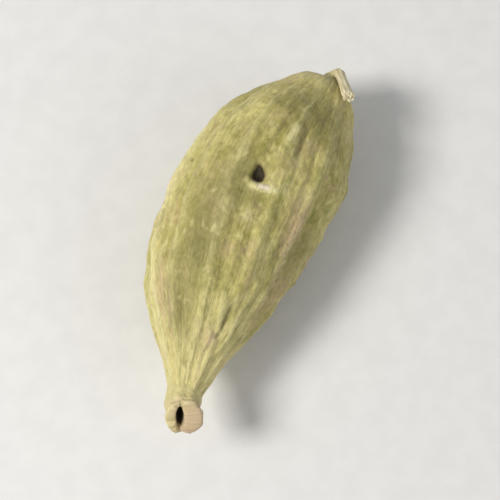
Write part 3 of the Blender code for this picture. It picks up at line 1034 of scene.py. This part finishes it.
# %% The finish of the stalk
stalk_finish, tree, shader = new_finish("stalk_straw", sheen=0.08, specular=0.35)
grain = attribute(tree, "grain", "Vector")
streaks = clouds(tree, stretched(tree, grain, 0.9, 7), detail=4, roughness=0.6)
colour = layered(tree, spread(tree, streaks, 0.35, 0.65), (0.600, 0.510, 0.270), (0.820, 0.740, 0.500))
length = parts_of(tree, grain)[0]
colour = layered(tree, spread(tree, length, 0.0, 0.9, 0.6, 0), colour, (0.330, 0.310, 0.120))
strings = clouds(tree, stretched(tree, grain, 2, 26), detail=3)
colour = layered(tree, spread(tree, strings, 0.55, 0.75, 0, 0.5), colour, (0.250, 0.170, 0.080))
torn = attribute(tree, "torn", "Fac")
bared = combined(tree, "MULTIPLY", torn, spread(tree, strings, 0.3, 0.6, 0.8, 0.3))
colour = layered(tree, bared, colour, (0.800, 0.720, 0.520))
tree.links.new(colour, shader.inputs["Base Color"])
tree.links.new(spread(tree, strings, 0.3, 0.7, 0.78, 0.55), shader.inputs["Roughness"])
tree.links.new(raised(tree, strings, 0.8, 0.00003), shader.inputs["Normal"])
finished("stalk_stub", stalk_body, "stalk", stalk_finish)
print("nodes in the stalk's finish:", len(tree.nodes))

# %% [markdown]
# ## The floor and the light
#
# The pod lies on a plain pale floor under soft studio light. A lamp above its bow side and a little towards its
# neck, like a window, draws the ribs with soft shadows. A larger and weaker one opposite keeps the dark side
# readable, and a pale world fills what is left. The lamps are large for so small a thing, because soft shadows
# need light from many directions.

# %% The floor
FLOOR_REACH = 0.25
floor_body = bmesh.new()
bmesh.ops.create_grid(floor_body, x_segments=1, y_segments=1, size=FLOOR_REACH)
floor_mesh = bpy.data.meshes.new("floor")
floor_body.to_mesh(floor_mesh)
floor_body.free()
floor_finish, tree, shader = new_finish("floor_paper", sheen=0, specular=0.2)
where = tree.nodes.new("ShaderNodeTexCoord").outputs["Object"]
paper = clouds(tree, where, scale=900, detail=4)
colour = layered(tree, spread(tree, paper, 0.3, 0.7), (0.730, 0.725, 0.710), (0.760, 0.755, 0.740))
tree.links.new(colour, shader.inputs["Base Color"])
tree.links.new(spread(tree, paper, 0.3, 0.7, 0.85, 0.95), shader.inputs["Roughness"])
floor_mesh.materials.append(floor_finish)
floor = bpy.data.objects.new("floor", floor_mesh)
bpy.context.scene.collection.objects.link(floor)
floor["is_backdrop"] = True
print(f"the floor is {2000 * FLOOR_REACH:.0f} mm wide")

# %% The lamps and the world
POD_MIDDLE = Vector((0, 0, 0.0035))
WORLD_COLOUR, WORLD_STRENGTH = (0.97, 0.98, 1.0, 1), 0.37


def soft_lamp(name, direction, distance, size, power, colour):
    """A square lamp that looks at the pod from that direction."""
    lamp = bpy.data.lights.new(name, "AREA")
    lamp.shape = "SQUARE"
    lamp.size = size
    lamp.energy = power
    lamp.color = colour
    holder = bpy.data.objects.new(name, lamp)
    away = Vector(direction).normalized()
    holder.location = POD_MIDDLE + distance * away
    holder.rotation_euler = away.to_track_quat("Z", "Y").to_euler()
    bpy.context.scene.collection.objects.link(holder)
    print(f"{name}: {power} W at {distance * 1000:.0f} mm")


soft_lamp("window", (0.38, -0.50, 0.77), 0.16, 0.05, 0.215, (1.0, 0.98, 0.94))
soft_lamp("bounce", (0.10, 0.95, 0.55), 0.20, 0.14, 0.078, (0.96, 0.98, 1.0))
world = bpy.data.worlds.new("studio")
world.use_nodes = True
sky = world.node_tree.nodes["Background"]
sky.inputs["Color"].default_value = WORLD_COLOUR
sky.inputs["Strength"].default_value = WORLD_STRENGTH
bpy.context.scene.world = world
bpy.context.scene.view_settings.view_transform = "Standard"

# %% [markdown]
# ## The camera
#
# The camera looks down on the pod, a little from the side of its neck, so that it stands almost upright in the
# picture, with the opening of the flower tube towards the viewer. A long lens keeps the near end from swelling.
# Such a lens stands a hand's breadth away, and Blender's camera would cut off things nearer than ten
# centimetres, so its near limit is brought in.

# %% The camera
AZIMUTH, ELEVATION = math.radians(114.3), math.radians(74)
LENS, SENSOR = 120, 36
FRAMED_HEIGHT = 0.0235
AIM = Vector((0.0003, 0.0009, 0.0033))
camera_data = bpy.data.cameras.new("camera")
camera_data.lens = LENS
camera_data.sensor_width = SENSOR
camera_data.clip_start = 0.001
camera = bpy.data.objects.new("camera", camera_data)
towards = Vector(
    (
        math.sin(AZIMUTH) * math.cos(ELEVATION),
        -math.cos(AZIMUTH) * math.cos(ELEVATION),
        math.sin(ELEVATION),
    )
)
distance = FRAMED_HEIGHT * LENS / SENSOR
camera.location = AIM + distance * towards
camera.rotation_euler = towards.to_track_quat("Z", "Y").to_euler()
bpy.context.scene.collection.objects.link(camera)
bpy.context.scene.camera = camera
print(f"the camera is {1000 * distance:.0f} mm away")

# %% [markdown]
# ## Check the size and finish
#
# The dressed pod has to fill the frame's box, no more. Both boxes are worked out, and the last line prints how
# far each side of the dressed pod lies past the frame's box.

# %% Compare the boxes and finish
boxes = {"cad": cad_box, "visual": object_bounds()}
boxes = {name: [[float(value) for value in corner] for corner in box] for name, box in boxes.items()}
growth = [[round(1000 * (v - c), 3) for v, c in zip(*corners)] for corners in zip(boxes["visual"], boxes["cad"])]
print("the dressed pod against the frame, in mm:", growth)
